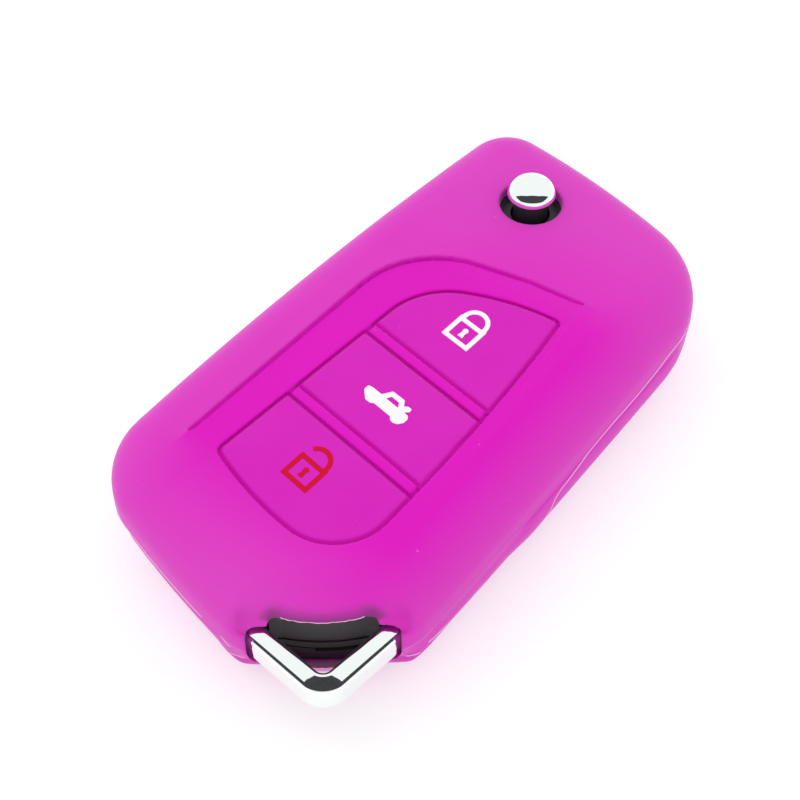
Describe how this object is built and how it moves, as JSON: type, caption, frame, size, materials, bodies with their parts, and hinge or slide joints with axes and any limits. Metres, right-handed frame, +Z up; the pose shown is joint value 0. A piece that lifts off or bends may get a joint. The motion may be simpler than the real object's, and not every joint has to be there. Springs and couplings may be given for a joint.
{
  "type": "key fob cover",
  "caption": "Soft silicone cover fitted on a folding car key, with printed press pads, a chrome release button, a swing-out blade and a chrome key ring loop.",
  "frame": {"origin": "on the resting plane, under the middle of the part's bounding box", "axes": "+X along the long side towards the release button, +Y towards the side that the blade folds into, +Z up through the pads"},
  "size_m": [0.0818, 0.0429, 0.02],
  "materials": {
    "silicone": "matte moulded silicone",
    "case_plastic": "satin black",
    "chrome": "polished",
    "steel": "plain",
    "blade_steel": "milled",
    "hub_metal": "die cast zinc",
    "keypad_rubber": "matte",
    "key_plastic": "matte",
    "board": "solder mask",
    "switch_metal": "stamped",
    "plunger_plastic": "matte",
    "chip_plastic": "matte",
    "cell_steel": "plain",
    "contact_brass": "plain"
  },
  "bodies": {
    "fob": {"silicone_cover": "silicone", "upper_case": "case_plastic", "lower_case": "case_plastic", "key_ring_loop": "chrome", "case_screw": "steel", "keypad_mat": "keypad_rubber", "circuit_board": "board", "switch_bodies": "switch_metal", "controller_chip": "chip_plastic", "crystal_can": "switch_metal", "coin_cell": "cell_steel", "cell_contact_top": "contact_brass", "cell_contact_bottom": "contact_brass", "transponder_chip": "chip_plastic"},
    "blade_arm": {"blade_hub": "hub_metal", "key_blade": "blade_steel", "blade_pin": "steel", "flip_spring": "steel"},
    "release_button": {"release_cap": "chrome", "release_stem": "case_plastic"},
    "lock_button": {"lock_pad": "silicone", "lock_key": "key_plastic", "lock_plunger": "plunger_plastic"},
    "trunk_button": {"trunk_pad": "silicone", "trunk_key": "key_plastic", "trunk_plunger": "plunger_plastic"},
    "unlock_button": {"unlock_pad": "silicone", "unlock_key": "key_plastic", "unlock_plunger": "plunger_plastic"}
  },
  "joints": [
    {"name": "blade_flip", "type": "hinge", "parent": "fob", "child": "blade_arm", "pos_m": [0.02821, 0.00325, 0.0083], "axis": [0, 0, -1], "range_deg": [0, 177]},
    {"name": "release_press", "type": "slide", "parent": "blade_arm", "child": "release_button", "axis": [0, 0, -1], "range_m": [0, 0.0025], "stiffness_N_per_m": 800, "deforming": ["flip_spring"]},
    {"name": "lock_press", "type": "slide", "parent": "fob", "child": "lock_button", "axis": [0, 0, -1], "range_m": [0, 0.0004], "stiffness_N_per_m": 2000},
    {"name": "trunk_press", "type": "slide", "parent": "fob", "child": "trunk_button", "axis": [0, 0, -1], "range_m": [0, 0.0004], "stiffness_N_per_m": 2000},
    {"name": "unlock_press", "type": "slide", "parent": "fob", "child": "unlock_button", "axis": [0, 0, -1], "range_m": [0, 0.0004], "stiffness_N_per_m": 2000}
  ]
}
